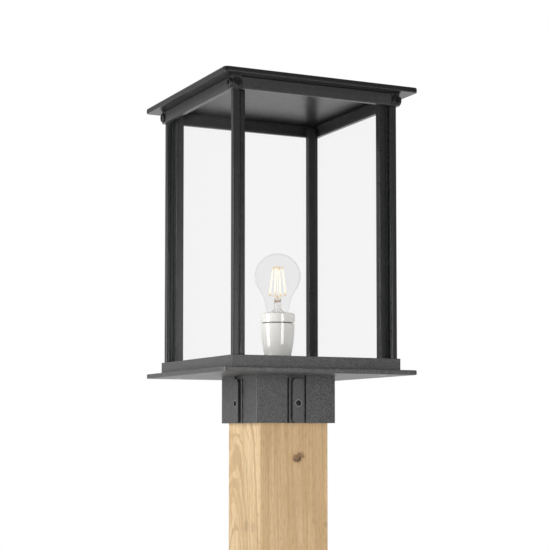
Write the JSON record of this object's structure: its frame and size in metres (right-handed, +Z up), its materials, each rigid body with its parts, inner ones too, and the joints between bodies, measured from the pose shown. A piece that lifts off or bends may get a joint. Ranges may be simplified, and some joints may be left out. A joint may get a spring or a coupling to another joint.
{
  "type": "garden lamp post",
  "caption": "Garden lamp post: a square wooden post in a metal collar carries a glass lantern with a flat lift-off roof and a filament bulb in a porcelain holder.",
  "frame": {"origin": "middle of the post's foot, on the ground", "axes": "+Z up along the post; -Y is the front face, +X the right-hand face; the upright frame's front and back bars run through"},
  "size_m": [0.268, 0.268, 1],
  "materials": {
    "timber": "planed light timber, oiled, grain upright",
    "black_coat": "satin black powder coat",
    "black_steel": "black coated screw steel",
    "plain_steel": "plain screw and sheet steel",
    "clear_glass": "clear float glass",
    "black_rubber": "matt black rubber",
    "porcelain": "off-white glaze",
    "brass": "plain brass",
    "bulb_glass": "clear bulb glass",
    "stem_glass": "glass stem that catches the filaments' warm light",
    "cap_metal": "plain rolled sheet",
    "cap_insulator": "black glass insulator",
    "filament": "glowing filament rods on wire leads"
  },
  "bodies": {
    "lamp": {"base_plate": "black_coat", "bridge_screws": "plain_steel", "cable_grommet": "black_rubber", "collar_panel_back_left": "black_coat", "collar_panel_back_right": "black_coat", "collar_panel_front_left": "black_coat", "collar_panel_front_right": "black_coat", "collar_rail_back": "black_coat", "collar_rail_front": "black_coat", "collar_rail_left": "black_coat", "collar_rail_right": "black_coat", "collar_screws": "black_steel", "collar_sleeve": "black_coat", "corner_post_back_left": "black_coat", "corner_post_back_right": "black_coat", "corner_post_front_left": "black_coat", "corner_post_front_right": "black_coat", "holder_body": "porcelain", "holder_bridge": "plain_steel", "holder_contact": "brass", "holder_ring": "porcelain", "holder_screws": "plain_steel", "holder_shell": "brass", "pane_back": "clear_glass", "pane_front": "clear_glass", "pane_left": "clear_glass", "pane_right": "clear_glass", "port_screws": "plain_steel", "sill_bar_back": "black_coat", "sill_bar_front": "black_coat", "sill_bar_left": "black_coat", "sill_bar_right": "black_coat", "sill_rubbers": "black_rubber", "timber_post": "timber"},
    "roof": {"roof_bar_back": "black_coat", "roof_bar_front": "black_coat", "roof_bar_left": "black_coat", "roof_bar_right": "black_coat", "roof_corner_back_left": "black_coat", "roof_corner_back_right": "black_coat", "roof_corner_front_left": "black_coat", "roof_corner_front_right": "black_coat", "roof_plate": "black_coat", "roof_seals": "black_rubber"},
    "bulb": {"bulb_cap": "cap_metal", "bulb_filaments": "filament", "bulb_glass": "bulb_glass", "bulb_insulator": "cap_insulator", "bulb_stem": "stem_glass", "bulb_tip": "brass"},
    "screw_back_left": {"roof_screw_back_left": "black_steel"},
    "screw_back_right": {"roof_screw_back_right": "black_steel"},
    "screw_front_left": {"roof_screw_front_left": "black_steel"},
    "screw_front_right": {"roof_screw_front_right": "black_steel"},
    "screw_left_back": {"roof_screw_left_back": "black_steel"},
    "screw_left_front": {"roof_screw_left_front": "black_steel"},
    "screw_right_back": {"roof_screw_right_back": "black_steel"},
    "screw_right_front": {"roof_screw_right_front": "black_steel"}
  },
  "joints": [
    {"name": "roof_lift", "type": "slide", "parent": "lamp", "child": "roof", "axis": [0, 0, 1], "range_m": [0, 0.12]},
    {"name": "bulb_lift", "type": "slide", "parent": "lamp", "child": "bulb", "axis": [0, 0, 1], "range_m": [0, 0.03]},
    {"name": "screw_back_left_back_off", "type": "slide", "parent": "roof", "child": "screw_back_left", "axis": [0, 1, 0], "range_m": [0, 0.0025]},
    {"name": "screw_back_right_back_off", "type": "slide", "parent": "roof", "child": "screw_back_right", "axis": [0, 1, 0], "range_m": [0, 0.0025]},
    {"name": "screw_front_left_back_off", "type": "slide", "parent": "roof", "child": "screw_front_left", "axis": [0, -1, 0], "range_m": [0, 0.0025]},
    {"name": "screw_front_right_back_off", "type": "slide", "parent": "roof", "child": "screw_front_right", "axis": [0, -1, 0], "range_m": [0, 0.0025]},
    {"name": "screw_left_back_back_off", "type": "slide", "parent": "roof", "child": "screw_left_back", "axis": [-1, 0, 0], "range_m": [0, 0.0025]},
    {"name": "screw_left_front_back_off", "type": "slide", "parent": "roof", "child": "screw_left_front", "axis": [-1, 0, 0], "range_m": [0, 0.0025]},
    {"name": "screw_right_back_back_off", "type": "slide", "parent": "roof", "child": "screw_right_back", "axis": [1, 0, 0], "range_m": [0, 0.0025]},
    {"name": "screw_right_front_back_off", "type": "slide", "parent": "roof", "child": "screw_right_front", "axis": [1, 0, 0], "range_m": [0, 0.0025]}
  ]
}
